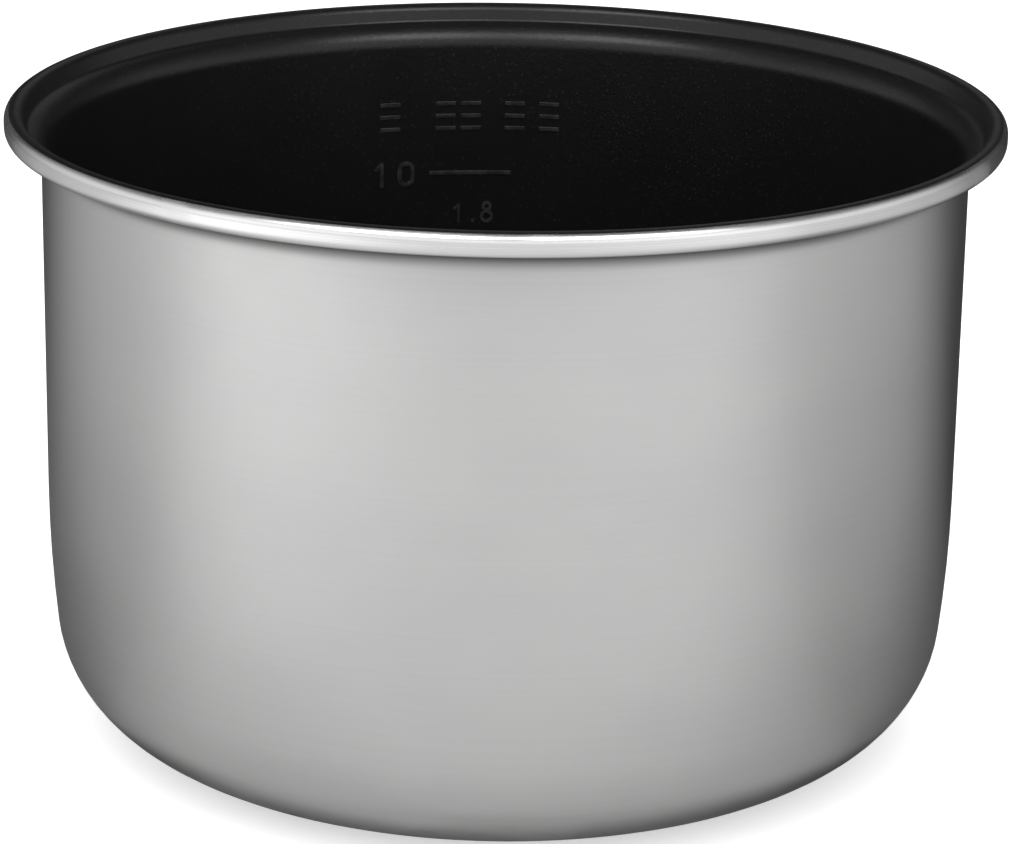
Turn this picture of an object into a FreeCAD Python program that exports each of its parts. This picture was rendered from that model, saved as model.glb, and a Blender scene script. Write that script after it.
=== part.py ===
"""Inner cooking pot of a ten-cup rice cooker, as a parametric document.

Units are millimetres.  +Z is up, the origin is the centre of the base that the pot stands on, and the
level scale is on the +Y side of the inner wall.

The pot is one drawn aluminium pan.  Its wall stands straight, turns outwards over a rounded shoulder into
a narrow gutter, climbs over the rim and hangs down outside as a curled lip.  A non-stick lining covers
everything from the floor to the outer edge of the rim's crest, where it ends flush with the bare lip.
The level scale is a low relief on the lining: graduation lines, numerals and a heading of plain bars.

Every cross-section follows one run of arcs and lines, laid at a depth below the lining's surface:
depth 0 is that surface, the lining's thickness is the joint between lining and pan, the wall's whole
thickness is the outside of the pan, and a negative depth is the face of the relief.
"""
import FreeCAD, Part
import math
import os

import Sketcher

START, END, CENTRE = 1, 2, 3        # where a constraint takes hold of a piece of a sketch
ORIGIN, UPRIGHT = -1, -2            # the sketch's own point and vertical axis

SIZES = (
    ("rim_radius", 120.0, "outside of the lip"),
    ("overall_height", 155.0, "base to the crest of the rim"),
    ("rim_overhang", 8.7, "lip's outside beyond the straight wall's outside"),
    ("wall_thickness", 1.6, "pan and lining together"),
    ("lining_thickness", 0.4, "non-stick lining, flush with the lip where it ends"),
    ("corner_radius", 30.7, "outside, where the base turns up"),
    ("blend_radius", 328.0, "outside, easing the corner into the straight wall"),
    ("blend_angle", 5.9, "degrees turned by that easing"),
    ("shoulder_radius", 6.5, "rounding from the wall to the gutter"),
    ("shoulder_angle", 70.0, "degrees turned by the shoulder"),
    ("gutter_radius", 1.2, "hollow between the shoulder and the rim"),
    ("rise_angle", 75.0, "slope of the rim's inner side above level, degrees"),
    ("least_slope", 0.3, "breadth always left for the rim's inner side, which limits the shoulder"),
    ("crest_radius", 2.4, "rounding over the rim"),
    ("lining_end_angle", 60.0, "where the lining stops on the crest, degrees above level"),
    ("lip_drop", 5.5, "crest to the lowest edge of the lip"),
    ("curl_radius", 2.4, "outside, where the lip turns in"),
    ("curl_angle", 35.0, "degrees turned by the lip"),
    ("relief_height", 0.3, "how far the scale stands out of the lining"),
    ("relief_headroom", 11.0, "from the crest down to where the wall is straight enough for relief"),
    ("top_level_drop", 45.0, "crest of the rim down to the ten-cup line"),
    ("low_level", 31.6, "height of the two-cup line"),
    ("line_left", -20.6, "left end of a graduation line"),
    ("line_length", 22.0, "length of a graduation line"),
    ("line_breadth", 1.1, "breadth of a graduation line"),
    ("numeral_height", 7.0, "tall numerals, cups"),
    ("numeral_width", 4.6, "breadth of a tall numeral"),
    ("numeral_stroke", 1.1, "breadth of a tall numeral's strokes"),
    ("numeral_gap", 1.9, "between one tall numeral and the next"),
    ("numeral_inset", 4.0, "between the tall numerals and their line"),
    ("small_ratio", 0.8, "small numerals, litres, to tall ones"),
    ("small_left", -14.5, "left end of the small numerals"),
    ("small_rise", 5.5, "from the next line up to the foot of the small numerals"),
    ("heading_rise", 15.8, "ten-cup line up to the middle of the heading"),
    ("bar_length", 5.4, "length of a heading bar"),
    ("bar_pitch", 3.4, "from one bar of a stack to the next"),
)
SCALE = ((10, "1.8"), (8, "1.4"), (6, "1.1"), (4, "0.7"), (2, ""))     # cups, and litres of rice
HEADING_STACKS = (-31.2, -16.4, -9.6, 2.2, 11.4)                       # middle of each, along X
BARS_IN_STACK = 3
CLOSE = 0.002                                                          # a shift too small to see

os.makedirs("parts", exist_ok=True)
doc = FreeCAD.newDocument("inner_pot")
sheet = doc.addObject("Spreadsheet::Sheet", "Sizes")
for row, (alias, amount, note) in enumerate(SIZES, start=1):
    sheet.set(f"A{row}", note)
    sheet.set(f"B{row}", str(amount))
    sheet.setAlias(f"B{row}", alias)
doc.recompute()


def size(alias):
    """The number that a cell of the sheet holds."""
    return float(sheet.get(alias))


def bound(text):
    """An expression with each alias turned into a reference to its cell."""
    words = []
    for word in text.split():
        words.append(f"Sizes.{word}" if word in ALIASES else word)
    return " ".join(words)


ALIASES = {alias for alias, _, _ in SIZES}
BODY_RADIUS = "( rim_radius - rim_overhang )"
SHOULDER = (
    "min( shoulder_radius ; ( rim_overhang + wall_thickness - crest_radius * ( 1 + sin( rise_angle * 1deg ) ) "
    "- gutter_radius * ( sin( rise_angle * 1deg ) - cos( shoulder_angle * 1deg ) ) - least_slope ) "
    "/ ( 1 - cos( shoulder_angle * 1deg ) ) )"
)
TOP_LEVEL = "( overall_height - top_level_drop )"
PITCH = f"( ( {TOP_LEVEL} - low_level ) / {len(SCALE) - 1} )"
SURFACE = "0"
JOINT = "lining_thickness"
OUTSIDE = "wall_thickness"
RELIEF_FACE = "( 0 - relief_height )"
DEPTH_NOW = {
    SURFACE: 0.0,
    JOINT: size("lining_thickness"),
    OUTSIDE: size("wall_thickness"),
    RELIEF_FACE: -size("relief_height"),
}


def body_radius():
    """The outside of the straight wall."""
    return size("rim_radius") - size("rim_overhang")


def level(step):
    """The height of a graduation line, counted down from the top one."""
    top = size("overall_height") - size("top_level_drop")
    return top - step * (top - size("low_level")) / (len(SCALE) - 1)


def unit(degrees):
    """The direction at an angle above level, in the plane of the section."""
    return FreeCAD.Vector(math.cos(math.radians(degrees)), math.sin(math.radians(degrees)), 0)


def shoulder_rounding():
    """The shoulder's radius, limited as SHOULDER is by the room from the wall to the rim's inner side."""
    turned, rise = unit(size("shoulder_angle")), unit(size("rise_angle"))
    room = size("rim_overhang") + size("wall_thickness") - size("crest_radius") * (1 + rise.y)
    room -= size("gutter_radius") * (rise.y - turned.x) + size("least_slope")
    return min(size("shoulder_radius"), room / (1 - turned.x))


class Section:
    """A closed outline on a body's XZ plane, turned about Z into a ring."""

    def __init__(self, name):
        self.body = doc.addObject("PartDesign::Body", f"{name}_body")
        self.body.Label = name
        plane = next(f for f in self.body.Origin.OriginFeatures if f.Role == "XZ_Plane")
        self.sketch = self.body.newObject("Sketcher::SketchObject", f"{name}_section")
        self.sketch.AttachmentSupport = [(plane, "")]
        self.sketch.MapMode = "FlatFace"

    def line(self, start, end):
        """A straight piece of the outline."""
        return self.sketch.addGeometry(Part.LineSegment(start, end), False)

    def arc(self, centre, radius, first, last):
        """A round piece, anticlockwise from the first angle to the last, in degrees."""
        circle = Part.Circle(centre, FreeCAD.Vector(0, 0, 1), radius)
        return self.sketch.addGeometry(Part.ArcOfCircle(circle, math.radians(first), math.radians(last)), False)

    def tie(self, kind, *what):
        """A constraint with no size of its own."""
        self.sketch.addConstraint(Sketcher.Constraint(kind, *what))

    def set(self, kind, what, now, text):
        """A constraint whose size follows the sheet."""
        index = self.sketch.addConstraint(Sketcher.Constraint(kind, *what, now))
        self.sketch.setExpression(f"Constraints[{index}]", bound(text))

    def bowl_run(self, depth, top_z):
        """Floor, corner and straight wall at a depth, as the floor and the wall.

        The floor starts on the axis, and the wall's top end is left for what comes next.
        """
        deep = DEPTH_NOW[depth]
        thick = size("wall_thickness")
        blend = size("blend_angle")
        corner_r = size("corner_radius") - thick + deep
        blend_r = size("blend_radius") - thick + deep
        wall_x = body_radius() - thick + deep
        floor_z = thick - deep
        corner_mid = FreeCAD.Vector(wall_x - blend_r, floor_z + corner_r, 0)
        corner_mid.x += (blend_r - corner_r) * unit(blend).x
        blend_mid = corner_mid - unit(-blend) * (blend_r - corner_r)

        floor = self.line(FreeCAD.Vector(0, floor_z, 0), corner_mid - unit(90) * corner_r)
        corner = self.arc(corner_mid, corner_r, -90, -blend)
        ease = self.arc(blend_mid, blend_r, -blend, 0)
        wall = self.line(blend_mid + unit(0) * blend_r, FreeCAD.Vector(wall_x, top_z, 0))

        self.tie("Horizontal", floor)
        self.tie("PointOnObject", floor, START, UPRIGHT)
        self.set("DistanceY", (ORIGIN, START, floor, START), floor_z, f"wall_thickness - {depth}")
        self.tie("Tangent", floor, END, corner, START)
        self.set("Radius", (corner,), corner_r, f"corner_radius - wall_thickness + {depth}")
        self.tie("Tangent", corner, END, ease, START)
        self.set("Radius", (ease,), blend_r, f"blend_radius - wall_thickness + {depth}")
        self.set("Angle", (ease,), math.radians(blend), "blend_angle * 1deg")
        self.tie("Tangent", ease, END, wall, START)
        self.tie("Vertical", wall)
        self.set("DistanceX", (ORIGIN, START, wall, START), wall_x, f"{BODY_RADIUS} - wall_thickness + {depth}")
        return floor, wall

    def rim_run(self, depth):
        """Floor, wall, shoulder, gutter and the rim's inner slope at a depth, as the floor and the slope.

        The slope's top end is left for the crest.
        """
        deep = DEPTH_NOW[depth]
        turned = size("shoulder_angle")
        rise = size("rise_angle")
        shoulder_r = shoulder_rounding() - deep
        gutter_r = size("gutter_radius") + deep
        crest_mid = self.crest_centre()
        slope_top = crest_mid + unit(90 + rise) * (size("crest_radius") - deep)
        wall_x = body_radius() - size("wall_thickness")
        bend_x = wall_x + shoulder_rounding() * (1 + unit(180 - turned).x)
        bend_x += size("gutter_radius") * (unit(rise - 90).x + unit(180 - turned).x)
        top_x = crest_mid.x + size("crest_radius") * unit(90 + rise).x
        slope_foot = slope_top - unit(rise) * ((top_x - bend_x) / unit(rise).x)
        gutter_mid = slope_foot - unit(rise - 90) * gutter_r
        shoulder_mid = gutter_mid - unit(180 - turned) * (gutter_r + shoulder_r)

        floor, wall = self.bowl_run(depth, shoulder_mid.y)
        shoulder = self.arc(shoulder_mid, shoulder_r, 180 - turned, 180)
        gutter = self.arc(gutter_mid, gutter_r, -turned, rise - 90)
        slope = self.line(slope_foot, slope_top)

        self.tie("Tangent", wall, END, shoulder, END)
        self.set("Radius", (shoulder,), shoulder_r, f"{SHOULDER} - {depth}")
        self.set("Angle", (shoulder,), math.radians(turned), "shoulder_angle * 1deg")
        self.tie("Tangent", shoulder, START, gutter, START)
        self.set("Radius", (gutter,), gutter_r, f"gutter_radius + {depth}")
        self.tie("Tangent", gutter, END, slope, START)
        self.set("Angle", (slope,), math.radians(rise), "rise_angle * 1deg")
        return floor, slope

    def crest_centre(self):
        """The point that the rim's crest is rounded about."""
        crest_r = size("crest_radius")
        return FreeCAD.Vector(size("rim_radius") - crest_r, size("overall_height") - crest_r, 0)

    def place_crest(self, crest):
        """Hold a crest arc's centre in from the rim's outside and down from its top."""
        middle = self.crest_centre()
        self.set("DistanceX", (ORIGIN, START, crest, CENTRE), middle.x, "rim_radius - crest_radius")
        self.set("DistanceY", (ORIGIN, START, crest, CENTRE), middle.y, "overall_height - crest_radius")

    def crest_arc(self, depth, first):
        """The crest over the slope, from the angle where it stops to the slope's top."""
        radius = size("crest_radius") - DEPTH_NOW[depth]
        crest = self.arc(self.crest_centre(), radius, first, 90 + size("rise_angle"))
        self.set("Radius", (crest,), radius, f"crest_radius - {depth}")
        return crest

    def covered_run(self, depth):
        """A run from the axis to where the lining stops, as its floor and its crest arc."""
        stop = size("lining_end_angle")
        floor, slope = self.rim_run(depth)
        crest = self.crest_arc(depth, stop)
        self.place_crest(crest)
        self.tie("Tangent", slope, END, crest, END)
        span = 90 + size("rise_angle") - stop
        self.set("Angle", (crest,), math.radians(span), "( 90 + rise_angle - lining_end_angle ) * 1deg")
        return floor, crest

    def close_on_axis(self, lower, upper):
        """Join the starts of two floors along the axis."""
        ends = [self.sketch.getPoint(piece, START) for piece in (lower, upper)]
        edge = self.line(*ends)
        self.tie("Coincident", edge, START, lower, START)
        self.tie("Coincident", edge, END, upper, START)

    def revolve(self, name):
        """Turn the outline once round its upright axis."""
        doc.recompute()
        ring = self.body.newObject("PartDesign::Revolution", f"{name}_turned")
        ring.Profile = self.sketch
        ring.ReferenceAxis = (self.sketch, ["V_Axis"])
        ring.Angle = 360
        return self.body


def make_lining():
    """The non-stick lining: floor, wall, shoulder, gutter and the crest of the rim."""
    section = Section("nonstick_lining")
    face_floor, face_crest = section.covered_run(SURFACE)
    joint_floor, joint_crest = section.covered_run(JOINT)
    edge = section.line(section.sketch.getPoint(face_crest, START), section.sketch.getPoint(joint_crest, START))
    section.tie("Coincident", edge, START, face_crest, START)
    section.tie("Coincident", edge, END, joint_crest, START)
    section.close_on_axis(joint_floor, face_floor)
    return section.revolve("lining")


def make_shell():
    """The drawn pan, with the recess for the lining and the bare curled lip."""
    section = Section("pot_shell")
    thick = size("wall_thickness")
    stop = size("lining_end_angle")
    curl = size("curl_angle")
    curl_r = size("curl_radius")
    rim = size("rim_radius")
    half = thick / 2
    curl_mid = FreeCAD.Vector(rim - curl_r, 0, 0)
    curl_mid.y = size("overall_height") - size("lip_drop") + half + (curl_r - half) * math.sin(math.radians(curl))

    joint_floor, joint_crest = section.covered_run(JOINT)
    step = section.line(section.sketch.getPoint(joint_crest, START),
                        section.crest_centre() + unit(stop) * size("crest_radius"))
    bare_crest = section.arc(section.crest_centre(), size("crest_radius"), 0, stop)
    face = section.line(section.sketch.getPoint(bare_crest, START), curl_mid + unit(0) * curl_r)
    turn = section.arc(curl_mid, curl_r, -curl, 0)
    tip = section.arc(curl_mid + unit(-curl) * (curl_r - half), half, 180 - curl, 360 - curl)
    back_turn = section.arc(curl_mid, curl_r - thick, -curl, 0)
    back_face = section.line(curl_mid + unit(0) * (curl_r - thick),
                             section.crest_centre() + unit(0) * (size("crest_radius") - thick))

    section.tie("Coincident", step, START, joint_crest, START)
    section.tie("Coincident", step, END, bare_crest, END)
    section.tie("Coincident", bare_crest, CENTRE, joint_crest, CENTRE)
    section.set("Radius", (bare_crest,), size("crest_radius"), "crest_radius")
    section.set("Angle", (bare_crest,), math.radians(stop), "lining_end_angle * 1deg")
    section.tie("Tangent", bare_crest, START, face, START)
    section.tie("Vertical", face)
    section.tie("Tangent", face, END, turn, END)
    section.set("Radius", (turn,), curl_r, "curl_radius")
    section.set("Angle", (turn,), math.radians(curl), "curl_angle * 1deg")
    section.set("DistanceY", (ORIGIN, START, turn, CENTRE), curl_mid.y,
                "overall_height - lip_drop + wall_thickness / 2"
                " + ( curl_radius - wall_thickness / 2 ) * sin( curl_angle * 1deg )")
    section.tie("Coincident", back_turn, CENTRE, turn, CENTRE)
    section.set("Radius", (back_turn,), curl_r - thick, "curl_radius - wall_thickness")
    section.tie("Tangent", turn, START, tip, END)
    section.tie("Tangent", tip, START, back_turn, START)
    section.tie("Tangent", back_turn, END, back_face, START)

    outer_floor, outer_slope = section.rim_run(OUTSIDE)
    outer_crest = section.crest_arc(OUTSIDE, 0)
    section.tie("Coincident", outer_crest, CENTRE, joint_crest, CENTRE)
    section.tie("Tangent", outer_slope, END, outer_crest, END)
    section.tie("Tangent", back_face, END, outer_crest, START)
    section.close_on_axis(outer_floor, joint_floor)
    return section.revolve("shell")


def make_relief_skin():
    """The thin ring of space that the scale's relief fills, on the face of the lining."""
    section = Section("relief_skin")
    top_z = size("overall_height") - size("relief_headroom")
    lining_floor, lining_wall = section.bowl_run(SURFACE, top_z)
    face_floor, face_wall = section.bowl_run(RELIEF_FACE, top_z)
    rim = section.line(section.sketch.getPoint(face_wall, END), section.sketch.getPoint(lining_wall, END))
    section.tie("Coincident", rim, START, face_wall, END)
    section.tie("Coincident", rim, END, lining_wall, END)
    section.tie("Horizontal", rim)
    section.set("DistanceY", (ORIGIN, START, rim, START), top_z, "overall_height - relief_headroom")
    section.close_on_axis(lining_floor, face_floor)
    return section.revolve("skin")


class Relief:
    """Upright outlines driven outwards through the relief skin, which gives them their curved faces."""

    def __init__(self, skin):
        self.skin = skin

    def bar(self, name, left, middle, length):
        """A level bar across the back wall, from its left end and middle height."""
        bar = doc.addObject("Part::Box", name)
        bar.setExpression("Length", bound(length))
        bar.setExpression("Width", bound(BODY_RADIUS))
        bar.setExpression("Height", bound("line_breadth"))
        bar.setExpression("Placement.Base.x", bound(left))
        bar.setExpression("Placement.Base.z", bound(f"{middle} - line_breadth / 2"))
        return bar

    def keep(self, label, bars):
        """The part of a set of bars that lies in the skin."""
        together = doc.addObject("Part::MultiFuse", f"{label}_bars")
        together.Shapes = bars
        kept = doc.addObject("Part::Common", f"{label}_relief")
        kept.Base = self.skin
        kept.Tool = together
        kept.Label = label
        return kept

    def lines(self):
        """The graduation lines, one for every two cups."""
        bars = []
        for step, (cups, _) in enumerate(SCALE):
            middle = f"( {TOP_LEVEL} - {step} * {PITCH} )"
            bars.append(self.bar(f"line_{cups}_cups", "line_left", middle, "line_length"))
        return self.keep("level_lines", bars)

    def heading(self):
        """Stacks of plain bars over the scale, where a caption would stand."""
        bars = []
        for stack, middle_x in enumerate(HEADING_STACKS):
            for step in range(BARS_IN_STACK):
                up = step - (BARS_IN_STACK - 1) / 2
                middle = f"( {TOP_LEVEL} + heading_rise + {up} * bar_pitch )"
                left = f"{middle_x} - bar_length / 2"
                bars.append(self.bar(f"heading_{stack}_{step}", left, middle, "bar_length"))
        return self.keep("scale_heading", bars)

    def press(self, solid):
        """The part of one sign in the skin.  A common can come back empty, so it is tried both ways round."""
        for shift in (0, CLOSE, -CLOSE):
            sign = solid.translated(FreeCAD.Vector(shift, 0, shift))
            kept = self.skin.Shape.common(sign).Solids or sign.common(self.skin.Shape).Solids
            if kept:
                return kept
        raise RuntimeError("a sign of the scale has no relief")

    def numerals(self):
        """Cups beside each line, and litres in smaller numerals under it."""
        tall = Numerals(1.0)
        small = Numerals(size("small_ratio"))
        right = size("line_left") - size("numeral_inset")
        solids = []
        for step, (cups, litres) in enumerate(SCALE):
            text = str(cups)
            solids += tall.solids(text, right - tall.length(text), level(step) - tall.height / 2)
            solids += small.solids(litres, size("small_left"), level(step + 1) + size("small_rise"))
        kept = [piece for solid in solids for piece in self.press(solid)]
        node = doc.addObject("Part::Feature", "numerals_relief")
        node.Shape = Part.makeCompound(kept)
        node.Label = "level_numerals"
        return node


class Numerals:
    """Plain numerals of even strokes with round ends, standing in the XZ plane."""

    ONE_FLAG = 0.8              # run of a 1's flag, of half the numeral's breadth
    TWO_BOWL = (-35, 170)       # degrees, the ends of a 2's bowl
    FOUR_STEM = 0.75            # a 4's stem, of the breadth
    FOUR_BAR = 0.3              # a 4's bar, of the height
    SIX_HEAD = 35               # degrees, where a 6's head starts
    SEVEN_FOOT = 0.3            # a 7's foot, of the breadth

    def __init__(self, ratio):
        self.height = size("numeral_height") * ratio
        self.width = size("numeral_width") * ratio
        self.gap = size("numeral_gap") * ratio
        self.half = size("numeral_stroke") * ratio / 2
        self.wide = self.width - 2 * self.half
        self.high = self.height - 2 * self.half

    def advance(self, sign):
        """How far a sign moves the one after it."""
        return (2 * self.half if sign == "." else self.width) + self.gap

    def length(self, text):
        """The length of a row of signs."""
        return sum(self.advance(sign) for sign in text) - self.gap

    def point(self, x, z):
        """A place on the middle line of a stroke."""
        return FreeCAD.Vector(self.half + x, 0, self.half + z)

    def around(self, middle, radius, angle):
        """A point on a circle in the XZ plane."""
        return middle + FreeCAD.Vector(unit(angle).x, 0, unit(angle).y) * radius

    def sweep(self, middle, radius, first, last):
        """An arc in the XZ plane between two angles, in either order."""
        return Part.Arc(*(self.around(middle, radius, angle) for angle in (first, (first + last) / 2, last)))

    def straight(self, start, end):
        """A straight stroke."""
        run = end - start
        lean = math.degrees(math.atan2(run.z, run.x))
        edges = [
            Part.LineSegment(self.around(start, self.half, lean - 90), self.around(end, self.half, lean - 90)),
            self.sweep(end, self.half, lean - 90, lean + 90),
            Part.LineSegment(self.around(end, self.half, lean + 90), self.around(start, self.half, lean + 90)),
            self.sweep(start, self.half, lean + 90, lean + 270),
        ]
        return Part.Face(Part.Wire([edge.toShape() for edge in edges]))

    def bend(self, middle, radius, first, last):
        """A stroke along an arc, anticlockwise."""
        head = self.around(middle, radius, last)
        tail = self.around(middle, radius, first)
        edges = [
            self.sweep(middle, radius + self.half, first, last),
            self.sweep(head, self.half, last, last + 180),
            self.sweep(middle, radius - self.half, last, first),
            self.sweep(tail, self.half, first + 180, first + 360),
        ]
        return Part.Face(Part.Wire([edge.toShape() for edge in edges]))

    def loop(self, middle, radius):
        """A stroke all the way round."""
        facing = FreeCAD.Vector(0, -1, 0)
        outer = Part.Face(Part.Wire(Part.makeCircle(radius + self.half, middle, facing)))
        inner = Part.Face(Part.Wire(Part.makeCircle(radius - self.half, middle, facing)))
        return outer.cut(inner)

    def strokes(self, sign):
        """The strokes of one sign, from its lower left corner."""
        wide, high, point = self.wide, self.high, self.point
        bowl = wide / 2
        low_mid = point(bowl, bowl)
        top_mid = point(bowl, high - bowl)
        if sign == ".":
            return [self.straight(point(0, 0), point(0, self.half / 2))]
        if sign == "0":
            sides = [self.straight(point(x, bowl), point(x, high - bowl)) for x in (0, wide)]
            return sides + [self.bend(top_mid, bowl, 0, 180), self.bend(low_mid, bowl, 180, 360)]
        if sign == "1":
            flag = point(bowl, high) - FreeCAD.Vector(bowl, 0, bowl) * self.ONE_FLAG
            return [self.straight(point(bowl, 0), point(bowl, high)), self.straight(flag, point(bowl, high))]
        if sign == "2":
            neck = self.around(top_mid, bowl, self.TWO_BOWL[0])
            return [self.bend(top_mid, bowl, *self.TWO_BOWL), self.straight(neck, point(0, 0)),
                    self.straight(point(0, 0), point(wide, 0))]
        if sign == "4":
            foot = point(wide * self.FOUR_STEM, 0)
            head = point(wide * self.FOUR_STEM, high)
            bar_z = high * self.FOUR_BAR
            return [self.straight(foot, head), self.straight(head, point(0, bar_z)),
                    self.straight(point(0, bar_z), point(wide, bar_z))]
        if sign == "6":
            return [self.loop(low_mid, bowl), self.straight(point(0, bowl), point(0, high - bowl)),
                    self.bend(top_mid, bowl, self.SIX_HEAD, 180)]
        if sign == "7":
            return [self.straight(point(0, high), point(wide, high)),
                    self.straight(point(wide, high), point(wide * self.SEVEN_FOOT, 0))]
        if sign == "8":
            upper = high / 2 - bowl
            return [self.loop(low_mid, bowl), self.loop(point(bowl, bowl + high / 2 + upper / 2), high / 2 - bowl)]
        raise ValueError(f"no strokes for {sign}")

    def solids(self, text, left, foot):
        """The signs of a row as prisms, from the row's lower left corner."""
        prisms = []
        for sign in text:
            faces = self.strokes(sign)
            outline = faces[0].fuse(faces[1:]) if len(faces) > 1 else faces[0]
            prism = outline.extrude(FreeCAD.Vector(0, body_radius(), 0))
            solid = prism.Solids[0].fuse(prism.Solids[1:]) if len(prism.Solids) > 1 else prism.Solids[0]
            solid = solid.removeSplitter()
            solid.translate(FreeCAD.Vector(left, 0, foot))
            prisms.append(solid)
            left += self.advance(sign)
        return prisms


def check(nodes):
    """Stop if anything in the document failed, or a node has no good solid."""
    for item in doc.Objects:
        if "Invalid" in item.State or "Error" in item.State:
            raise RuntimeError(f"{item.Name} is {item.State}")
    for node in nodes:
        if node.Shape.isNull() or not node.Shape.isValid() or not node.Shape.Solids:
            raise RuntimeError(f"{node.Label} has no valid solid")


def main():
    """Build every node, check them, and write each to a file of its own."""
    shell = make_shell()
    lining = make_lining()
    doc.recompute()
    relief = Relief(make_relief_skin())
    lines = relief.lines()
    heading = relief.heading()
    doc.recompute()
    nodes = [shell, lining, lines, heading, relief.numerals()]
    doc.recompute()
    check(nodes)
    for node in nodes:
        node.Shape.exportStep(f"parts/{node.Label}.step")
        box = node.Shape.BoundBox
        print(f"{node.Label}: {len(node.Shape.Solids)} solids, {node.Shape.Volume:.1f} mm3, "
              f"{box.XLength:.2f} x {box.YLength:.2f} x {box.ZLength:.2f} mm")


main()
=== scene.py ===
import logging
import math
from dataclasses import dataclass
from enum import Enum
from typing import Any, Iterable, Optional, Union

import bmesh
import bpy
from mathutils import Matrix, Quaternion, Vector


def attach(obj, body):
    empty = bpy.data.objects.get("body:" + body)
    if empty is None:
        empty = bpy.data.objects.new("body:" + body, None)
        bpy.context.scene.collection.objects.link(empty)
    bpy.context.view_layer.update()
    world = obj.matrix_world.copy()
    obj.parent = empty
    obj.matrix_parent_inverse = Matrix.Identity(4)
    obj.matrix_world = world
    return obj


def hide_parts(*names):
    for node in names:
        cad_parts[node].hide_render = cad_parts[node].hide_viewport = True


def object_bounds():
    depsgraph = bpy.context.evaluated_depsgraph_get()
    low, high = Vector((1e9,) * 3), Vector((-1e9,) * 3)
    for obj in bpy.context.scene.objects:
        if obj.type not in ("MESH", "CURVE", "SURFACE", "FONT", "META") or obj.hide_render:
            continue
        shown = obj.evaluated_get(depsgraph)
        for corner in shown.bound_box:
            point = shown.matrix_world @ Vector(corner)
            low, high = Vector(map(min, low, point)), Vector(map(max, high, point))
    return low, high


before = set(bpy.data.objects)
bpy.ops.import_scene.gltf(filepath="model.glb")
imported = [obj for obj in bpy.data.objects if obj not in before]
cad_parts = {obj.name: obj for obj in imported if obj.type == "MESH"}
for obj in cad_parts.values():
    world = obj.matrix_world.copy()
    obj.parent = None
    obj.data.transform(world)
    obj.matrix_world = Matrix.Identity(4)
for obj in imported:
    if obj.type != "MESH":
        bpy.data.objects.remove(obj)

LOG = logging.getLogger("inner_pot")
CAD_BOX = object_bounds()
ROOT = "root"
MM = 0.001


class Slot(Enum):
    """The record's material slots."""

    ALUMINIUM = "bare_aluminium"
    NONSTICK = "nonstick_black"


# ---------------------------------------------------------------------------------------------
# Shader expressions
# ---------------------------------------------------------------------------------------------

Number = Union["Value", float]
Input = Union["Value", float, tuple]


class Value:
    """A number, colour or vector inside a material; numbers take Python's own operators."""

    def __init__(self, shader: "Shader", socket: bpy.types.NodeSocket) -> None:
        """Wrap an output.

        Args:
            shader: the material it belongs to.
            socket: the output itself.
        """
        self.shader = shader
        self.socket = socket

    def _maths(self, operation: str, first: Number, second: Number) -> "Value":
        """Add a Math node of two inputs."""
        return self.shader.node("ShaderNodeMath", {"operation": operation}, {0: first, 1: second})

    def __add__(self, other: Number) -> "Value":
        """This value plus another."""
        return self._maths("ADD", self, other)

    def __radd__(self, other: float) -> "Value":
        """A number plus this value."""
        return self._maths("ADD", other, self)

    def __sub__(self, other: Number) -> "Value":
        """This value less another."""
        return self._maths("SUBTRACT", self, other)

    def __rsub__(self, other: float) -> "Value":
        """A number less this value."""
        return self._maths("SUBTRACT", other, self)

    def __mul__(self, other: Number) -> "Value":
        """This value times another."""
        return self._maths("MULTIPLY", self, other)

    def __rmul__(self, other: float) -> "Value":
        """A number times this value."""
        return self._maths("MULTIPLY", other, self)

    def __pow__(self, other: Number) -> "Value":
        """This value to a power."""
        return self._maths("POWER", self, other)

    def ramp(self, low: float, high: float, at_low: float = 0.0, at_high: float = 1.0) -> "Value":
        """Ease from one number to another as this value crosses a range.

        Args:
            low: where the change starts.
            high: where it is complete.
            at_low: the result up to low.
            at_high: the result from high on.

        Returns:
            The eased number.
        """
        sockets = {"Value": self, "From Min": low, "From Max": high, "To Min": at_low, "To Max": at_high}
        return self.shader.node("ShaderNodeMapRange", {"interpolation_type": "SMOOTHSTEP"}, sockets)


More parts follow.
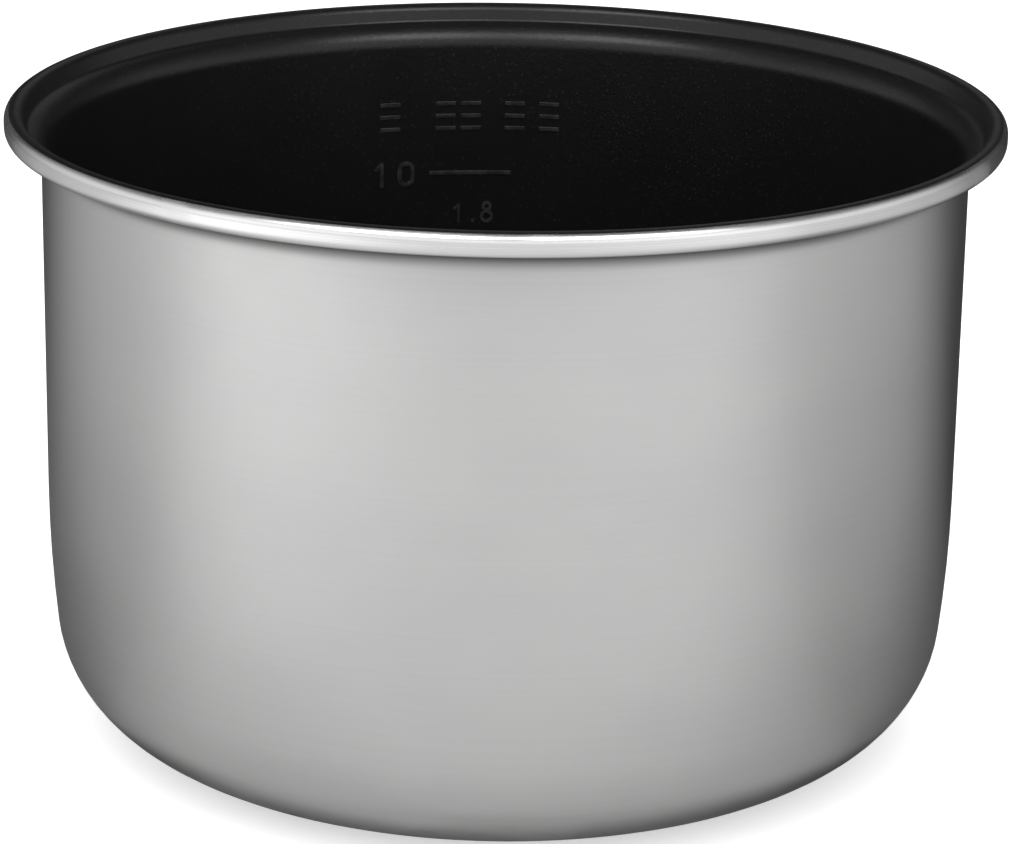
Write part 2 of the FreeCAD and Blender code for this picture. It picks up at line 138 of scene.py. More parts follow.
class Shader:
    """A material's nodes, all made by one method."""

    def __init__(self, name: str) -> None:
        """Start a material with no nodes.

        Args:
            name: the material's name.
        """
        self.material = bpy.data.materials.new(name)
        self.material.use_nodes = True
        self.tree = self.material.node_tree
        self.tree.nodes.clear()
        self.place = self.node("ShaderNodeTexCoord", out="Object")
        self.x = self.node("ShaderNodeSeparateXYZ", sockets={0: self.place}, out="X")
        self.y = self.node("ShaderNodeSeparateXYZ", sockets={0: self.place}, out="Y")
        self.z = self.node("ShaderNodeSeparateXYZ", sockets={0: self.place}, out="Z")
        self.radius = (self.x * self.x + self.y * self.y) ** 0.5

    def node(self, kind: str, settings: Optional[dict[str, Any]] = None,
             sockets: Optional[dict[Union[str, int], Input]] = None, out: Union[str, int] = 0) -> Value:
        """Make a node, its settings first and then its sockets.

        Args:
            kind: the node's type.
            settings: properties to set.
            sockets: values and links, by input.
            out: the output wanted.

        Returns:
            That output.
        """
        made = self.tree.nodes.new(kind)
        for name, setting in (settings or {}).items():
            setattr(made, name, setting)
        for name, given in (sockets or {}).items():
            if isinstance(given, Value):
                self.tree.links.new(given.socket, made.inputs[name])
            else:
                made.inputs[name].default_value = given
        return Value(self, made.outputs[out])

    def cloud(self, size: float, detail: float = 2.0, stretch: tuple = (1.0, 1.0, 1.0)) -> Value:
        """Noise on the piece's own coordinates.

        Args:
            size: of its larger features, in metres.
            detail: how many finer layers it has.
            stretch: how much longer the features are along each axis.

        Returns:
            The noise, about one half.
        """
        squeezed = tuple(1 / part for part in stretch)
        place = self.node("ShaderNodeVectorMath", {"operation": "MULTIPLY"}, {0: self.place, 1: squeezed})
        return self.node("ShaderNodeTexNoise", sockets={"Vector": place, "Scale": 1 / size, "Detail": detail})

    def turning(self, size: float, detail: float = 3.0) -> Value:
        """Fine circles about the pot's axis, such as a lathe or a polishing belt leaves.

        Args:
            size: from one circle to the next, in metres.
            detail: how many finer layers there are.

        Returns:
            The noise, about one half.
        """
        sockets = {"W": self.z - self.radius, "Scale": 1 / size, "Detail": detail}
        return self.node("ShaderNodeTexNoise", {"noise_dimensions": "1D"}, sockets)

    def specks(self, size: float, low: float, high: float) -> Value:
        """Sparse dots: one inside each small cell, fading from low to high distance."""
        sockets = {"Vector": self.place, "Scale": 1 / size, "Randomness": 1.0}
        away = self.node("ShaderNodeTexVoronoi", {"feature": "F1"}, sockets, out="Distance")
        return away.ramp(low, high, 1.0, 0.0)

    def tint(self, factor: Number, first: tuple, second: tuple) -> Value:
        """A colour between two."""
        return self.node("ShaderNodeMix", {"data_type": "RGBA"}, {0: factor, 6: first, 7: second}, out=2)

    def bump(self, height: Value, depth: float, under: Optional[Value] = None) -> Value:
        """Turn a height into a normal.

        Args:
            height: from 0 to 1.
            depth: what 1 stands for, in metres.
            under: a normal that this one is laid over.

        Returns:
            The normal.
        """
        sockets: dict[Union[str, int], Input] = {"Height": height, "Distance": depth}
        if under is not None:
            sockets["Normal"] = under
        return self.node("ShaderNodeBump", sockets=sockets)

    def finish(self, **sockets: Input) -> bpy.types.Material:
        """End in a Principled surface.

        Args:
            sockets: its inputs, with underscores for spaces.

        Returns:
            The finished material.
        """
        named = {name.replace("_", " "): given for name, given in sockets.items()}
        return self.end(self.node("ShaderNodeBsdfPrincipled", sockets=named))

    def end(self, surface: Value) -> bpy.types.Material:
        """Send a surface to the material's output."""
        output = self.tree.nodes.new("ShaderNodeOutputMaterial")
        self.tree.links.new(surface.socket, output.inputs["Surface"])
        return self.material

    def blend(self, stops: list[tuple[float, tuple]], factor: Value) -> Value:
        """A colour ramp of many stops.

        Args:
            stops: place from 0 to 1, and colour.
            factor: where the ramp is read.

        Returns:
            The colour.
        """
        made = self.tree.nodes.new("ShaderNodeValToRGB")
        ramp = made.color_ramp
        ramp.interpolation = "EASE"
        for extra in range(len(stops) - 2):
            ramp.elements.new((extra + 1) / len(stops))
        for element, (place, colour) in zip(ramp.elements, stops):
            element.position = place
            element.color = colour
        self.tree.links.new(factor.socket, made.inputs["Fac"])
        return Value(self, made.outputs["Color"])


# ---------------------------------------------------------------------------------------------
# Finishes
# ---------------------------------------------------------------------------------------------


@dataclass(frozen=True)
class SatinAluminium:
    """Bare drawn aluminium with a fine, even, frosted grain, and painted shade under the lip and on edges
    turned from view.
    """

    bright: tuple = (0.605, 0.61, 0.60, 1.0)
    dull: tuple = (0.57, 0.575, 0.57, 1.0)
    # The colour of shade painted into the metal, under the lip and on edges turned from view.
    painted_shade: tuple = (0.12, 0.12, 0.118, 1.0)
    roughness: float = 0.38
    brushing: float = 0.6
    grain_size: float = 0.35 * MM
    grain_depth: float = 0.012 * MM
    circle_size: float = 0.9 * MM
    circle_depth: float = 0.006 * MM
    cloud_size: float = 45 * MM
    scuff_size: float = 9 * MM
    handling_size: float = 26 * MM
    rings_size: float = 1.6 * MM
    rings_share: float = 6.0
    foot_radius: float = 84 * MM
    foot_height: tuple = (0.2 * MM, 3 * MM)
    # How far below the top the painted shade under the lip begins, and where it is full.
    painted_shade_start: float = 12.5 * MM
    painted_shade_full: float = 6.4 * MM
    # Painted shade on edges turned from view: the facing range over which it grows, and its strength.
    painted_edge_shade_facing: tuple = (0.52, 0.95)
    painted_edge_shade_strength: float = 0.55

    def material(self) -> bpy.types.Material:
        """The finished material."""
        s = Shader("satin_aluminium")
        grain = s.cloud(self.grain_size, 3.0)
        circles = s.turning(self.circle_size)
        cloud = s.cloud(self.cloud_size, 3.0, (1.0, 1.0, 0.6))
        under_foot = (s.z.ramp(*self.foot_height, 1.0, 0.0)
                      * s.radius.ramp(self.foot_radius, self.foot_radius * 0.97))
        rings = s.node("ShaderNodeTexNoise", {"noise_dimensions": "1D"},
                       {"W": s.radius, "Scale": 1 / self.rings_size, "Detail": 4.0})
        scuffs = s.cloud(self.scuff_size, 5.0, (1.0, 1.0, 0.25)).ramp(0.60, 0.74)
        handling = s.cloud(self.handling_size, 2.0).ramp(0.48, 0.68)
        worn = scuffs * s.z.ramp(2 * MM, 30 * MM, 0.55, 0.12)
        tone = cloud.ramp(0.30, 0.70) * 0.6 + circles.ramp(0.3, 0.7) * 0.4
        polished = s.tint(tone, self.dull, self.bright)
        top = CAD_BOX[1].z
        # Painted shade: the wall just under the lip is darkened towards the shade colour.
        painted_shade = s.z.ramp(top - self.painted_shade_start, top - self.painted_shade_full) ** 1.5
        # Painted dark reflection: edges turned away from view are darkened towards the shade colour.
        facing = s.node("ShaderNodeLayerWeight", sockets={"Blend": 0.5}, out="Facing")
        painted_edge_shade = facing.ramp(*self.painted_edge_shade_facing, 0.0, self.painted_edge_shade_strength)
        colour = s.tint(painted_edge_shade, s.tint(painted_shade, polished, self.painted_shade), self.painted_shade)
        rough = (self.roughness + (grain - 0.5) * 0.10 + (circles - 0.5) * 0.05
                 + (handling - 0.5) * 0.03 - worn * 0.10 - under_foot * 0.08)
        height = circles + rings * under_foot * self.rings_share
        coarse = s.bump(height, self.circle_depth)
        normal = s.bump(grain, self.grain_depth, coarse)
        return s.finish(Base_Color=colour, Metallic=1.0, Roughness=rough, Normal=normal,
                        Anisotropic=self.brushing, Anisotropic_Rotation=0.25)


@dataclass(frozen=True)
class BrightLip:
    """The rolled lip, burnished in turning, with nicks from stacking and washing."""

    bright: tuple = (0.81, 0.81, 0.80, 1.0)
    dull: tuple = (0.66, 0.665, 0.67, 1.0)
    roughness: float = 0.20
    circle_size: float = 0.22 * MM
    circle_depth: float = 0.004 * MM
    nick_size: float = 13 * MM
    nick_depth: float = 0.05 * MM
    handling_size: float = 19 * MM
    rubbed_size: float = 30 * MM

    def material(self) -> bpy.types.Material:
        """The finished material."""
        s = Shader("bright_lip")
        circles = s.turning(self.circle_size)
        handling = s.cloud(self.handling_size, 3.0)
        nicks = s.specks(self.nick_size, 0.02, 0.07)
        rubbed = s.cloud(self.rubbed_size, 1.0).ramp(0.62, 0.70)
        colour = s.tint(circles.ramp(0.3, 0.7) * 0.5 + handling * 0.5, self.dull, self.bright)
        rough = (self.roughness + (circles - 0.5) * 0.08 + (handling - 0.5) * 0.06
                 + nicks * 0.25 + rubbed * 0.12)
        normal = s.bump(1.0 - nicks, self.nick_depth, s.bump(circles, self.circle_depth))
        return s.finish(Base_Color=colour, Metallic=1.0, Roughness=rough, Normal=normal)


@dataclass(frozen=True)
class NonStick:
    """Black cooked-on lining with a faint orange-peel surface and dark mineral fleck."""

    deep: tuple = (0.0056, 0.0056, 0.006, 1.0)
    fleck: tuple = (0.034, 0.034, 0.036, 1.0)
    roughness: float = 0.31
    peel_size: float = 1.1 * MM
    peel_depth: float = 0.05 * MM
    fleck_size: float = 1.6 * MM
    wipe_size: float = 22 * MM
    # The size of the patches in the level scale's painted highlight.
    painted_sheen_size: float = 3 * MM
    wear_size: float = 2.4 * MM
    wear_height: tuple = (2 * MM, 12 * MM)
    ior: float = 1.38

    def material(self, raised: bool = False) -> bpy.types.Material:
        """The finished material.

        Args:
            raised: for the level scale, whose faces are smoother, and paler from a painted highlight.

        Returns:
            The material.
        """
        s = Shader("nonstick_marks" if raised else "nonstick")
        peel = s.cloud(self.peel_size, 2.0)
        wipes = s.cloud(self.wipe_size, 3.0)
        dots = s.specks(self.fleck_size, 0.05, 0.22) * 0.6
        painted_sheen = s.cloud(self.painted_sheen_size, 2.0).ramp(0.35, 0.65)
        floor_wear = s.z.ramp(*self.wear_height, 1.0, 0.0) * s.turning(self.wear_size).ramp(0.5, 0.7)
        # On the level scale, a painted highlight lifts the tone paler, unevenly.
        tone = dots + floor_wear * 0.10 + (painted_sheen * 0.45 + 0.40 if raised else 0.0)
        colour = s.tint(tone, self.deep, self.fleck)
        rough = (self.roughness + (wipes - 0.5) * 0.10 - dots * 0.02 + floor_wear * 0.05
                 - (0.08 if raised else 0.0))
        normal = s.bump(peel, self.peel_depth)
        return s.finish(Base_Color=colour, Roughness=rough, IOR=self.ior, Normal=normal)


# ---------------------------------------------------------------------------------------------
# Geometry Nodes
# ---------------------------------------------------------------------------------------------


class NodeKit:
    """A geometry tree with named inputs, all of whose nodes come from one method."""

    def __init__(self, name: str, inputs: Iterable[tuple[str, str]]) -> None:
        """Start a tree.

        Args:
            name: the tree's name.
            inputs: the name and socket type of each input after the geometry.
        """
        self.tree = bpy.data.node_groups.new(name, "GeometryNodeTree")
        face = self.tree.interface
        face.new_socket("Geometry", in_out="OUTPUT", socket_type="NodeSocketGeometry")
        face.new_socket("Geometry", in_out="INPUT", socket_type="NodeSocketGeometry")
        self.identifiers = {}
        for label, kind in inputs:
            self.identifiers[label] = face.new_socket(label, in_out="INPUT", socket_type=kind).identifier
        self.given = self.tree.nodes.new("NodeGroupInput")

    def asked(self, label: str) -> bpy.types.NodeSocket:
        """The tree's own input of that name."""
        return self.given.outputs[label]

    def node(self, kind: str, settings: Optional[dict[str, Any]] = None,
             sockets: Optional[dict[Union[str, int], Any]] = None,
             out: Union[str, int] = 0) -> bpy.types.NodeSocket:
        """Make a node, its settings first and then its sockets.

        Args:
            kind: the node's type.
            settings: properties to set.
            sockets: values and links, by input.
            out: the output wanted.

        Returns:
            That output.
        """
        made = self.tree.nodes.new(kind)
        for name, setting in (settings or {}).items():
            setattr(made, name, setting)
        for name, given in (sockets or {}).items():
            if isinstance(given, bpy.types.NodeSocket):
                self.tree.links.new(given, made.inputs[name])
            else:
                made.inputs[name].default_value = given
        return made.outputs[out]

    def maths(self, operation: str, first: Any, second: Any = 0.0) -> bpy.types.NodeSocket:
        """A Math node."""
        return self.node("ShaderNodeMath", {"operation": operation}, {0: first, 1: second})

    def close(self, geometry: bpy.types.NodeSocket) -> None:
        """Send a geometry to the tree's output."""
        end = self.tree.nodes.new("NodeGroupOutput")
        self.tree.links.new(geometry, end.inputs["Geometry"])

    def apply(self, source: bpy.types.Object, name: str, values: dict[str, Any]) -> bpy.types.Object:
        """Run the tree on a source object and keep the result as a plain mesh.

        Args:
            source: the object that the tree starts from, which is removed afterwards.
            name: the finished object's name.
            values: each named input's value.

        Returns:
            The finished object.
        """
        modifier = source.modifiers.new(name, "NODES")
        modifier.node_group = self.tree
        for label, value in values.items():
            modifier[self.identifiers[label]] = value
        evaluated = source.evaluated_get(bpy.context.evaluated_depsgraph_get())
        mesh = bpy.data.meshes.new_from_object(evaluated)
        source.modifiers.remove(modifier)
        bpy.data.objects.remove(source)
        return new_object(name, mesh)


def new_object(name: str, mesh: bpy.types.Mesh) -> bpy.types.Object:
    """Link a mesh into the scene as an object at the origin."""
    made = bpy.data.objects.new(name, mesh)
    bpy.context.scene.collection.objects.link(made)
    return made


def face_outwards(piece: bpy.types.Object, crease: float) -> None:
    """Point a closed mesh's faces outwards and shade it smooth between creases.

    Args:
        piece: the object.
        crease: the angle between faces from which an edge stays sharp, in degrees.
    """
    work = bmesh.new()
    work.from_mesh(piece.data)
    bmesh.ops.recalc_face_normals(work, faces=work.faces)
    for face in work.faces:
        face.smooth = True
    work.to_mesh(piece.data)
    work.free()
    piece.data.set_sharp_from_angle(angle=math.radians(crease))


class Lathe(NodeKit):
    """Turns an outline about the pot's axis, from one point on the axis to another."""

    SEGMENTS = 320
    WELD = 0.004 * MM
    CREASE = 34

    def __init__(self) -> None:
        """Build the tree."""
        inputs = (("Points", "NodeSocketInt"), ("Segments", "NodeSocketInt"),
                  ("Second from radius", "NodeSocketFloat"), ("Weld", "NodeSocketFloat"),
                  ("Finish", "NodeSocketMaterial"), ("Second finish", "NodeSocketMaterial"))
        super().__init__("lathe", inputs)
        points, segments = self.asked("Points"), self.asked("Segments")
        grid = self.node("GeometryNodeMeshGrid", sockets={
            "Vertices X": self.maths("ADD", segments, 1), "Vertices Y": points}, out="Mesh")
        index = self.node("GeometryNodeInputIndex")
        station = self.maths("FLOOR", self.maths("DIVIDE", index, points))
        turn = self.maths("MULTIPLY", self.maths("DIVIDE", station, segments), 2 * math.pi)
        step = self.maths("MODULO", index, points)
        outline = self.node("GeometryNodeSampleIndex", {"data_type": "FLOAT_VECTOR", "domain": "POINT"}, {
            "Geometry": self.asked("Geometry"), "Value": self.node("GeometryNodeInputPosition"),
            "Index": step})
        away = self.node("ShaderNodeSeparateXYZ", sockets={0: outline}, out="X")
        high = self.node("ShaderNodeSeparateXYZ", sockets={0: outline}, out="Z")
        place = self.node("ShaderNodeCombineXYZ", sockets={
            0: self.maths("MULTIPLY", away, self.maths("COSINE", turn)),
            1: self.maths("MULTIPLY", away, self.maths("SINE", turn)), 2: high})
        turned = self.node("GeometryNodeSetPosition", sockets={"Geometry": grid, "Position": place})
        welded = self.node("GeometryNodeMergeByDistance", sockets={
            "Geometry": turned, "Distance": self.asked("Weld")})
        whole = self.node("GeometryNodeRealizeInstances", sockets={"Geometry": welded})
        dressed = self.node("GeometryNodeSetMaterial", sockets={
            "Geometry": whole, "Material": self.asked("Finish")})
        length = self.node("ShaderNodeVectorMath", {"operation": "LENGTH"}, {
            0: self.node("ShaderNodeVectorMath", {"operation": "MULTIPLY"}, {
                0: self.node("GeometryNodeInputPosition"), 1: (1.0, 1.0, 0.0)})}, out="Value")
        beyond = self.node("FunctionNodeCompare", {"operation": "GREATER_THAN"}, {
            0: length, 1: self.asked("Second from radius")})
        self.close(self.node("GeometryNodeSetMaterial", sockets={
            "Geometry": dressed, "Selection": beyond, "Material": self.asked("Second finish")}))

    def turn(self, name: str, outline: list[Vector], finish: bpy.types.Material,
             second: bpy.types.Material, second_from: float) -> bpy.types.Object:
        """Turn an outline into a closed piece.

        Args:
            name: the piece's name.
            outline: points (radius, 0, height) from the axis round to the axis.
            finish: its material.
            second: the material of faces further out than second_from.
            second_from: that radius, in metres.

        Returns:
            The piece.
        """
        mesh = bpy.data.meshes.new(f"{name}_outline")
        mesh.from_pydata(outline, [(i, i + 1) for i in range(len(outline) - 1)], [])
        source = new_object(f"{name}_outline", mesh)
        piece = self.apply(source, name, {
            "Points": len(outline), "Segments": self.SEGMENTS, "Second from radius": second_from,
            "Weld": self.WELD, "Finish": finish, "Second finish": second})
        face_outwards(piece, self.CREASE)
        return piece


# ---------------------------------------------------------------------------------------------
# The pot
# ---------------------------------------------------------------------------------------------


@dataclass
class Section:
    """Half the pot's cross-section: one run of arcs and lines, at any depth below the lining's face."""

    FLOOR_STEPS, CORNER_STEPS, EASE_STEPS = 8, 18, 4
    SHOULDER_STEPS, GUTTER_STEPS, CREST_STEPS = 10, 6, 12
    LIP_STEPS, CURL_STEPS = 8, 5

    rim: float
    height: float
    overhang: float = 8.7 * MM
    wall: float = 1.6 * MM
    lining: float = 0.4 * MM
    corner: float = 30.7 * MM
    ease: float = 328 * MM
    ease_turn: float = 5.9
    shoulder: float = 6.5 * MM
    shoulder_turn: float = 70.0
    gutter: float = 1.2 * MM
    rise: float = 75.0
    crest: float = 2.4 * MM
    lining_stop: float = 60.0
    lip_drop: float = 5.5 * MM
    curl: float = 2.4 * MM
    curl_turn: float = 35.0

    def way(self, degrees: float) -> Vector:
        """A direction in the section, from level outwards."""
        return Vector((math.cos(math.radians(degrees)), 0.0, math.sin(math.radians(degrees))))

    def arc(self, middle: Vector, radius: float, first: float, last: float, steps: int) -> list[Vector]:
        """Points on an arc.

        Args:
            middle: its centre.
            radius: its radius.
            first: the angle of its first point, in degrees.
            last: the angle of its last.
            steps: how many pieces it has.

        Returns:
            The points, both ends among them.
        """
        angles = (first + (last - first) * step / steps for step in range(steps + 1))
        return [middle + self.way(angle) * radius for angle in angles]

    @property
    def crest_middle(self) -> Vector:
        """The point that the rim's crest is rounded about."""
        return Vector((self.rim - self.crest, 0.0, self.height - self.crest))

    @property
    def curl_middle(self) -> Vector:
        """The point that the lip's curl is rounded about."""
        half = self.wall / 2
        drop = self.lip_drop - half - (self.curl - half) * math.sin(math.radians(self.curl_turn))
        return Vector((self.rim - self.curl, 0.0, self.height - drop))

    def run(self, depth: float, stop: float) -> list[Vector]:
        """The run from the axis, out over the floor, up the wall and over the rim.

        Args:
            depth: below the lining's face, in metres.
            stop: the angle on the crest where it ends, in degrees.

        Returns:
            Its points.
        """
        inner = self.rim - self.overhang - self.wall
        corner = self.corner - self.wall + depth
        ease = self.ease - self.wall + depth
        corner_middle = Vector((inner + depth - ease, 0.0, self.wall - depth + corner))
        corner_middle.x += (ease - corner) * self.way(self.ease_turn).x
        ease_middle = corner_middle - self.way(-self.ease_turn) * (ease - corner)
        slope_top = self.crest_middle + self.way(90 + self.rise) * (self.crest - depth)
        bend = inner + self.shoulder * (1 + self.way(180 - self.shoulder_turn).x)
        bend += self.gutter * (self.way(self.rise - 90).x + self.way(180 - self.shoulder_turn).x)
        top = self.crest_middle.x + self.crest * self.way(90 + self.rise).x
        slope_foot = slope_top - self.way(self.rise) * ((top - bend) / self.way(self.rise).x)
        gutter_middle = slope_foot - self.way(self.rise - 90) * (self.gutter + depth)
        reach = self.gutter + self.shoulder
        shoulder_middle = gutter_middle - self.way(180 - self.shoulder_turn) * reach
        flat = [Vector((corner_middle.x * step / self.FLOOR_STEPS, 0.0, self.wall - depth))
                for step in range(self.FLOOR_STEPS)]
        return (flat
                + self.arc(corner_middle, corner, -90, -self.ease_turn, self.CORNER_STEPS)
                + self.arc(ease_middle, ease, -self.ease_turn, 0, self.EASE_STEPS)[1:]
                + self.arc(shoulder_middle, self.shoulder - depth, 180, 180 - self.shoulder_turn,
                           self.SHOULDER_STEPS)
                + self.arc(gutter_middle, self.gutter + depth, -self.shoulder_turn, self.rise - 90,
                           self.GUTTER_STEPS)[1:]
                + self.arc(self.crest_middle, self.crest - depth, 90 + self.rise, stop, self.CREST_STEPS))

    def lip(self) -> list[Vector]:
        """The bare crest, the lip's face, its curl and the lip's back, up to the outside run."""
        half = self.wall / 2
        tip = self.curl_middle + self.way(-self.curl_turn) * (self.curl - half)
        return (self.arc(self.crest_middle, self.crest, self.lining_stop, 0, self.LIP_STEPS)
                + self.arc(self.curl_middle, self.curl, 0, -self.curl_turn, self.CURL_STEPS)
                + self.arc(tip, half, -self.curl_turn, -self.curl_turn - 180, self.LIP_STEPS)[1:-1]
                + self.arc(self.curl_middle, self.curl - self.wall, -self.curl_turn, 0, self.CURL_STEPS))


@dataclass
class Pan:
    """The drawn aluminium pan with its bare curled lip."""

    section: Section
    lathe: Lathe
    lip_breadth: float = 1.55 * MM

    def build(self) -> bpy.types.Object:
        """Turn the pan, in satin with a bright lip."""
        section = self.section
        outline = section.run(section.lining, section.lining_stop) + section.lip()
        outline += list(reversed(section.run(section.wall, 0)))
        pan = self.lathe.turn("pan", outline, SatinAluminium().material(), BrightLip().material(),
                              section.rim - self.lip_breadth)
        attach(pan, ROOT)
        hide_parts("pot_shell")
        return pan


@dataclass
class Lining:
    """The non-stick lining, with the raised level scale on its back wall."""

    section: Section
    lathe: Lathe
    merge: float = 0.001 * MM
    flat: float = 1.5
    edge: float = 45
    bevel: float = 0.09 * MM
    bevel_steps: int = 3
    crease: float = 50

    def build(self) -> list[bpy.types.Object]:
        """Turn the lining and dress the scale."""
        section = self.section
        finish = NonStick().material()
        outline = section.run(section.lining, section.lining_stop)
        outline += list(reversed(section.run(0.0, section.lining_stop)))
        cover = self.lathe.turn("lining", outline, finish, finish, section.rim)
        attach(cover, ROOT)
        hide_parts("nonstick_lining")
        marks = NonStick().material(raised=True)
        nodes = ("level_lines", "level_numerals", "scale_heading")
        return [cover] + [self.mark(node, marks) for node in nodes]

    def mark(self, node: str, finish: bpy.types.Material) -> bpy.types.Object:
        """A set of raised marks with softened edges.

        Args:
            node: the CAD node they come from.
            finish: their material.

        Returns:
            The piece.
        """
        work = bmesh.new()
        work.from_mesh(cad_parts[node].data)
        bmesh.ops.remove_doubles(work, verts=work.verts, dist=self.merge)
        bmesh.ops.recalc_face_normals(work, faces=work.faces)
        bmesh.ops.dissolve_limit(work, angle_limit=math.radians(self.flat), verts=work.verts,
                                 edges=work.edges)
        sharp = [edge for edge in work.edges if edge.calc_face_angle(0.0) > math.radians(self.edge)]
        bmesh.ops.bevel(work, geom=sharp, offset=self.bevel, segments=self.bevel_steps, profile=0.5,
                        affect="EDGES", clamp_overlap=True)
        for face in work.faces:
            face.smooth = True
        mesh = bpy.data.meshes.new(f"{node}_soft")
        work.to_mesh(mesh)
        work.free()
        mesh.materials.append(finish)
        mesh.set_sharp_from_angle(angle=math.radians(self.crease))
        piece = new_object(f"{node}_soft", mesh)
        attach(piece, ROOT)
        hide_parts(node)
        return piece


# ---------------------------------------------------------------------------------------------
# Stage, lights and camera
# ---------------------------------------------------------------------------------------------


@dataclass
class Studio:
    """A white floor and sky for even light, a tent of cards for the reflections, and the camera.

    The cards run round the tent: degrees from its bright side, and level.
    """

    distance: float = 0.960
    elevation: float = 17.9334
    roll: float = 0.904
    lens: float = 138.397
    target: tuple = (1.128 * MM, 0.0, 74.488 * MM)
    sky: float = 1.3
    floor_half: float = 4.0
    floor_drop: float = 0.3 * MM
    floor_glow: float = 0.3
    tent_radius: float = 3.0
    disc_drop: float = 1 * MM
    disc_radius: float = 2.9
    hole: float = 0.105
    pool_level: float = 0.50
    key_level: float = 5.5
    back_level: float = 0.22
    panel_away: float = 1.8
    panel_side: float = 1.4
    bright_side: float = -6.0
    cards: tuple = ((0, 0.78), (46, 0.79), (62, 0.71), (74, 0.52), (92, 0.44), (112, 0.34),
                    (126, 0.20), (138, 0.04), (158, 0.03), (170, 0.26), (180, 0.36))

    def show(self, name: str, mesh: bpy.types.Mesh, finish: bpy.types.Material) -> bpy.types.Object:
        """Put a staged mesh in the scene.

        Args:
            name: its name.
            mesh: its mesh.
            finish: its material.

        Returns:
            The object.
        """
        mesh.materials.append(finish)
        made = new_object(name, mesh)
        return made

    def floor(self) -> None:
        """A white floor that fills the view, and is clear from underneath."""
        work = bmesh.new()
        bmesh.ops.create_grid(work, x_segments=8, y_segments=8, size=self.floor_half,
                              matrix=Matrix.Translation((0.0, 0.0, -self.floor_drop)))
        mesh = bpy.data.meshes.new("floor")
        work.to_mesh(mesh)
        work.free()
        s = Shader("white_floor")
        colour = s.tint(s.cloud(400 * MM), (0.90, 0.90, 0.90, 1.0), (0.93, 0.93, 0.93, 1.0))
        under = s.node("ShaderNodeNewGeometry", out="Backfacing")
        finish = s.finish(Base_Color=colour, Roughness=0.9, Specular_IOR_Level=0.1, Alpha=1.0 - under,
                          Emission_Color=(1.0, 1.0, 1.0, 1.0), Emission_Strength=self.floor_glow,
                          Normal=s.bump(s.cloud(0.9 * MM), 0.01 * MM))
        floor = self.show("floor", mesh, finish)
        floor.visible_glossy = False

    def tent_mesh(self) -> bpy.types.Mesh:
        """A sphere round everything, and a disc just under the floor with a hole below the pot's base."""
        work = bmesh.new()
        bmesh.ops.create_uvsphere(work, u_segments=96, v_segments=48, radius=self.tent_radius)
        below = Matrix.Translation((0.0, 0.0, -self.disc_drop))
        ring = bmesh.ops.create_circle(work, cap_ends=False, radius=self.hole, segments=96, matrix=below)
        edges = list({edge for vertex in ring["verts"] for edge in vertex.link_edges})
        spread = bmesh.ops.extrude_edge_only(work, edges=edges)["geom"]
        for vertex in (item for item in spread if isinstance(item, bmesh.types.BMVert)):
            vertex.co.xy *= self.disc_radius / self.hole
        mesh = bpy.data.meshes.new("tent")
        work.to_mesh(mesh)
        work.free()
        return mesh

    def tent_level(self, s: Shader) -> Value:
        """How bright each part of the tent is.

        Args:
            s: the tent's material.

        Returns:
            The strength of its glow.
        """
        degrees = 180 / math.pi
        turn = s.node("ShaderNodeMath", {"operation": "ARCTAN2"}, {0: s.x, 1: s.y * -1.0}) * degrees
        rise = s.node("ShaderNodeMath", {"operation": "ARCSINE"}, {0: s.z * (1 / self.tent_radius)}) * degrees
        aside = s.node("ShaderNodeMath", {"operation": "ABSOLUTE"}, {0: turn - self.bright_side})
        stops = [(azimuth / 180, (level, level, level, 1.0)) for azimuth, level in self.cards]
        wall = s.blend(stops, aside * (1 / 180))
        low = rise.ramp(-2, 10, 1.0, 1.35) * rise.ramp(20, 50, 1.0, 0.3)
        contact = s.radius.ramp(0.112, 0.19, 0.80, 1.0)
        pool = self.patch(s, -0.62, -0.46, 0.10, 0.60)
        middle = s.node("ShaderNodeMath", {"operation": "ABSOLUTE"}, {0: turn}).ramp(3, 14, 0.10, 1.0)
        key = self.window(turn, rise, -70, 66, 38, 66) * middle * self.key_level
        away = s.radius.ramp(0.13, 0.52, -1.0, 1.0) * aside.ramp(0, 106, 0.07, 0.52)
        behind = aside.ramp(150, 165) * s.radius.ramp(0.45, 0.62, 0.0, 0.9)
        back = aside.ramp(158, 176) * rise.ramp(14, 26) * rise.ramp(58, 74, 1.0, 0.0) * self.back_level
        cards = wall * low * contact * (1.0 + away) * (1.0 - behind)
        return back + cards + pool * self.pool_level + key

    def tent(self) -> None:
        """Cards round and over the pot that only its reflections show."""
        s = Shader("tent_cards")
        glow = s.node("ShaderNodeEmission", sockets={"Strength": self.tent_level(s)})
        tent = self.show("tent", self.tent_mesh(), s.end(glow))
        tent.visible_camera = False
        tent.visible_diffuse = False
        tent.visible_shadow = False
        tent.visible_transmission = False
        s.material.cycles.emission_sampling = "NONE"

    def patch(self, s: Shader, x: float, y: float, solid: float, edge: float) -> Value:
        """A round soft pool of light on the floor.

        Args:
            s: the tent's material.
            x: its middle, across.
            y: its middle, along.
            solid: the radius of full strength.
            edge: the radius where it ends.

        Returns:
            Its strength.
        """
        across, along = s.x - x, s.y - y
        away = (across * across + along * along) ** 0.5
        return away.ramp(solid, edge, 1.0, 0.0)

    def window(self, turn: Value, rise: Value, left: float, right: float, low: float,
               high: float) -> Value:
        """A soft-edged rectangle of light on the tent.

        Args:
            turn: azimuth, in degrees.
            rise: elevation, in degrees.
            left: its left side.
            right: its right side.
            low: its lower side.
            high: its upper side.

        Returns:
            Its strength.
        """
        soft = (right - left) / 5
        across = turn.ramp(left, left + soft) * turn.ramp(right - soft, right, 1.0, 0.0)
        return across * rise.ramp(low, low + 6) * rise.ramp(high - 6, high, 1.0, 0.0)

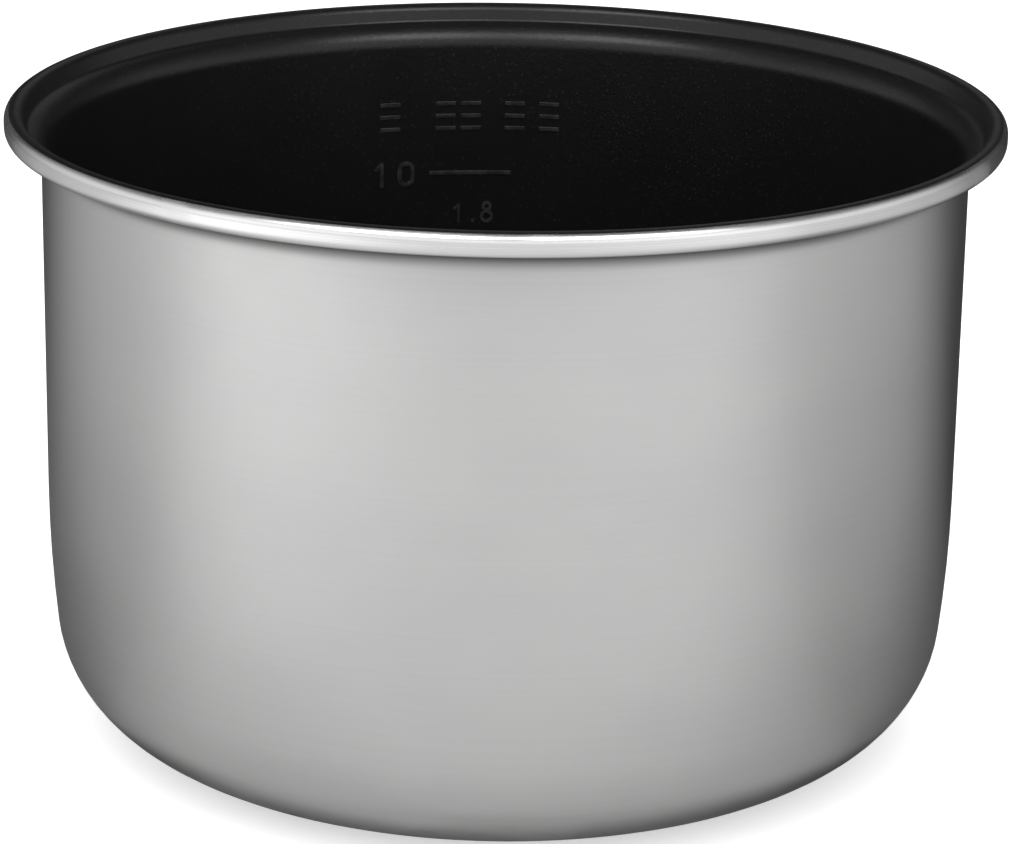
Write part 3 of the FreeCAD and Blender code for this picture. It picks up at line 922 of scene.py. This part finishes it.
    def panel(self, name: str, azimuth: float, elevation: float, power: float) -> None:
        """A soft square light aimed at the middle of the pot.

        Args:
            name: its name.
            azimuth: degrees round from the camera's side, positive to the right.
            elevation: degrees above level.
            power: in watts.
        """
        light = bpy.data.lights.new(name, "AREA")
        light.shape = "SQUARE"
        light.size = self.panel_side
        light.energy = power
        lamp = bpy.data.objects.new(name, light)
        turn, rise = math.radians(azimuth), math.radians(elevation)
        way = Vector((math.sin(turn) * math.cos(rise), -math.cos(turn) * math.cos(rise), math.sin(rise)))
        lamp.location = Vector(self.target) + way * self.panel_away
        lamp.rotation_euler = way.to_track_quat("Z", "Y").to_euler()
        lamp.visible_camera = False
        lamp.visible_glossy = False
        bpy.context.scene.collection.objects.link(lamp)

    def world(self) -> None:
        """An even pale sky."""
        world = bpy.data.worlds.new("sky")
        world.use_nodes = True
        backdrop = world.node_tree.nodes["Background"]
        backdrop.inputs["Color"].default_value = (1.0, 1.0, 1.0, 1.0)
        backdrop.inputs["Strength"].default_value = self.sky
        world.cycles_visibility.glossy = False
        bpy.context.scene.world = world
        bpy.context.scene.view_settings.view_transform = "Standard"

    def camera(self) -> None:
        """The camera, low in front of the pot."""
        data = bpy.data.cameras.new("camera")
        data.lens = self.lens
        data.sensor_width = 36.0
        data.clip_start = 0.05
        camera = bpy.data.objects.new("camera", data)
        rise = math.radians(self.elevation)
        way = Vector((0.0, -math.cos(rise), math.sin(rise)))
        camera.location = Vector(self.target) + way * self.distance
        camera.rotation_mode = "QUATERNION"
        level = way.to_track_quat("Z", "Y")
        camera.rotation_quaternion = level @ Quaternion((0.0, 0.0, 1.0), math.radians(self.roll))
        bpy.context.scene.collection.objects.link(camera)
        bpy.context.scene.camera = camera

    def build(self) -> None:
        """Set everything up."""
        self.camera()
        self.world()
        self.floor()
        self.tent()
        self.panel("key", -40, 45, 6)
        self.panel("fill", 40, 40, 4)


def triangles(piece: bpy.types.Object) -> int:
    """How many triangles a piece has."""
    return sum(len(face.vertices) - 2 for face in piece.data.polygons)


def main() -> None:
    """Build the pot and its studio."""
    logging.basicConfig(level=logging.INFO, format="%(name)s: %(message)s")
    section = Section(rim=CAD_BOX[1].x, height=CAD_BOX[1].z)
    lathe = Lathe()
    pieces = [Pan(section, lathe).build()] + Lining(section, lathe).build()
    for piece in pieces:
        LOG.info("%s: %d triangles", piece.name, triangles(piece))
    Studio().build()


if __name__ == "__main__":
    main()
